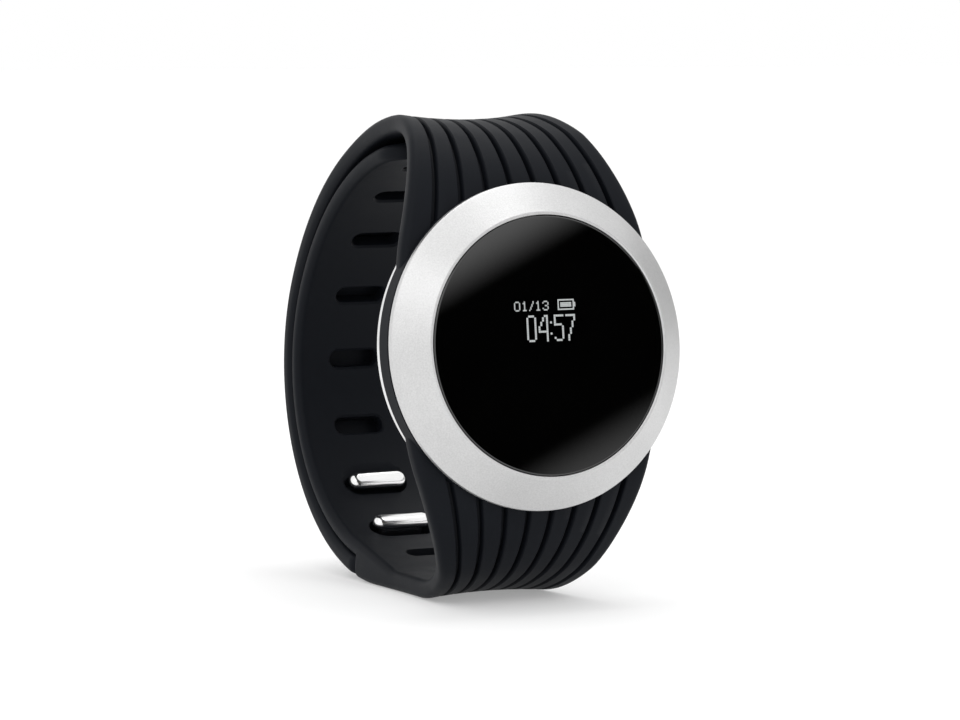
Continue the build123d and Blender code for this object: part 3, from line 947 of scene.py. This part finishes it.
# the CAD pieces that keep their shape; the others are replaced by the pieces above
nodeFinishes = {
    "lens_gasket": "seal", "module_housing": "black", "rear_cover": "black", "rear_seal": "seal",
    "charge_pins": "gold", "rear_screws": "steel", "display_carrier": "black", "display_panel": "panel",
    "touch_pad": "copper", "main_board": "board", "board_chips": "chip", "antenna": "gold",
    "display_flex": "copper", "battery": "pouch", "battery_pad": "seal", "motor_case": "motor",
    "motor_weight": "motor",
}
for node, piece in frame["nodes"].items():
    piece.data.materials.clear()
    piece.data.materials.append(finishes[nodeFinishes.get(node, "silicone")])
print("CAD pieces finished:", len(nodeFinishes))

view = {
    "azimuth": -27.86, "elevation": 4.438, "roll": -0.143, "distance": 483.5, "lens": 150, "sensor": 36,
    "nearest": 10, "aim": (4.0, 21.96, -3.2),    # the aim is from the middle of the bezel's rim plane
}
azimuth, elevation = radians(view["azimuth"]), radians(view["elevation"])
back = Vector((sin(azimuth) * cos(elevation), -cos(azimuth) * cos(elevation), sin(elevation)))
right = Vector((cos(azimuth), sin(azimuth), 0))
cameraData = bpy.data.cameras.new("camera")
cameraData.lens = view["lens"]
cameraData.sensor_width = view["sensor"]
cameraData.clip_start = view["nearest"] * mm
camera = bpy.data.objects.new("camera", cameraData)
turn = Matrix((right, back.cross(right), back)).transposed().to_4x4()
turn = turn @ Matrix.Rotation(radians(view["roll"]), 4, "Z")
aim = faceCentre + Vector(view["aim"]) * mm
camera.matrix_world = Matrix.Translation(aim + back * view["distance"] * mm) @ turn
scene.collection.objects.link(camera)
scene.camera = camera

ground = {"reach": 12.0, "drop": 0.02}       # reach is in metres
floorMesh = bpy.data.meshes.new("floor")
reach = ground["reach"]
corners = [(-reach, -reach, 0), (reach, -reach, 0), (reach, reach, 0), (-reach, reach, 0)]
floorMesh.from_pydata(corners, [], [(0, 1, 2, 3)])
floor = bpy.data.objects.new("floor", floorMesh)
paper = Finish("paper", Roughness=0.9)
paperGrain = paper.noise(30, 3.0)
paper.feed("Base Color", paper.blendColour(paperGrain, grey(0.62), grey(0.66)))
paper.shader.inputs["Emission Color"].default_value = grey(1)
paper.shader.inputs["Emission Strength"].default_value = 0.3
floorMesh.materials.append(paper.material)
scene.collection.objects.link(floor)
floor.location.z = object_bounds()[0].z - ground["drop"] * mm

lamps = {                            # metres and watts
    "key": {"place": (-0.5, -0.4, 0.5), "size": 0.35, "power": 0.5},
    "overhead": {"place": (0.1, 0.15, 0.8), "size": 0.5, "power": 1.7},
}
for name, lamp in lamps.items():
    light = bpy.data.lights.new(name, "AREA")
    light.shape = "SQUARE"
    light.size = lamp["size"]
    light.energy = lamp["power"]
    holder = bpy.data.objects.new(name, light)
    holder.location = lamp["place"]
    holder.rotation_euler = (Vector(lamp["place"]) - faceCentre).to_track_quat("Z", "Y").to_euler()
    scene.collection.objects.link(holder)

studio = {
    "slant": (-259.0, 0.0, 490.0),   # the tent's seam runs across in front, square to this
    "tent": (-60.3, -53.0, 1.1),     # where along the slant the cloth's light starts and is full, its strength
    "card": (-82.8, -89.5, 0.6),     # the same for the lit card below the seam
    "backdrop": (0.9, 0.97, 1.0),    # the same behind the object, by how squarely it is faced
}
world = bpy.data.worlds.new("studio")
world.use_nodes = True
scene.world = world
walls = NodeMaker(world.node_tree)


def lit(value, stops):
    start, full, light = stops
    made = walls.node("ShaderNodeMapRange", {"interpolation_type": "SMOOTHSTEP"}, {
        "Value": value, "From Min": start, "From Max": full, "To Min": 0.0, "To Max": light})
    return Shade(walls, made.outputs["Result"])


def facing(way):
    look = walls.node("ShaderNodeTexCoord").outputs["Generated"]
    made = walls.node("ShaderNodeVectorMath", {"operation": "DOT_PRODUCT"}, {0: look, 1: way})
    return made.outputs["Value"]


slant = facing(studio["slant"])
level = Vector((-back.x, -back.y, 0)).normalized()
behind = lit(facing(tuple(level)), studio["backdrop"])
front = lit(slant, studio["tent"]) + lit(slant, studio["card"])
glow = walls.node("ShaderNodeBackground", {}, {"Strength": front * (1 - behind) + behind})
walls.node("ShaderNodeOutputWorld", {}, {"Surface": glow.outputs[0]})
glow.inputs["Color"].default_value = grey(1)
scene.view_settings.view_transform = "Standard"
print("stage set")
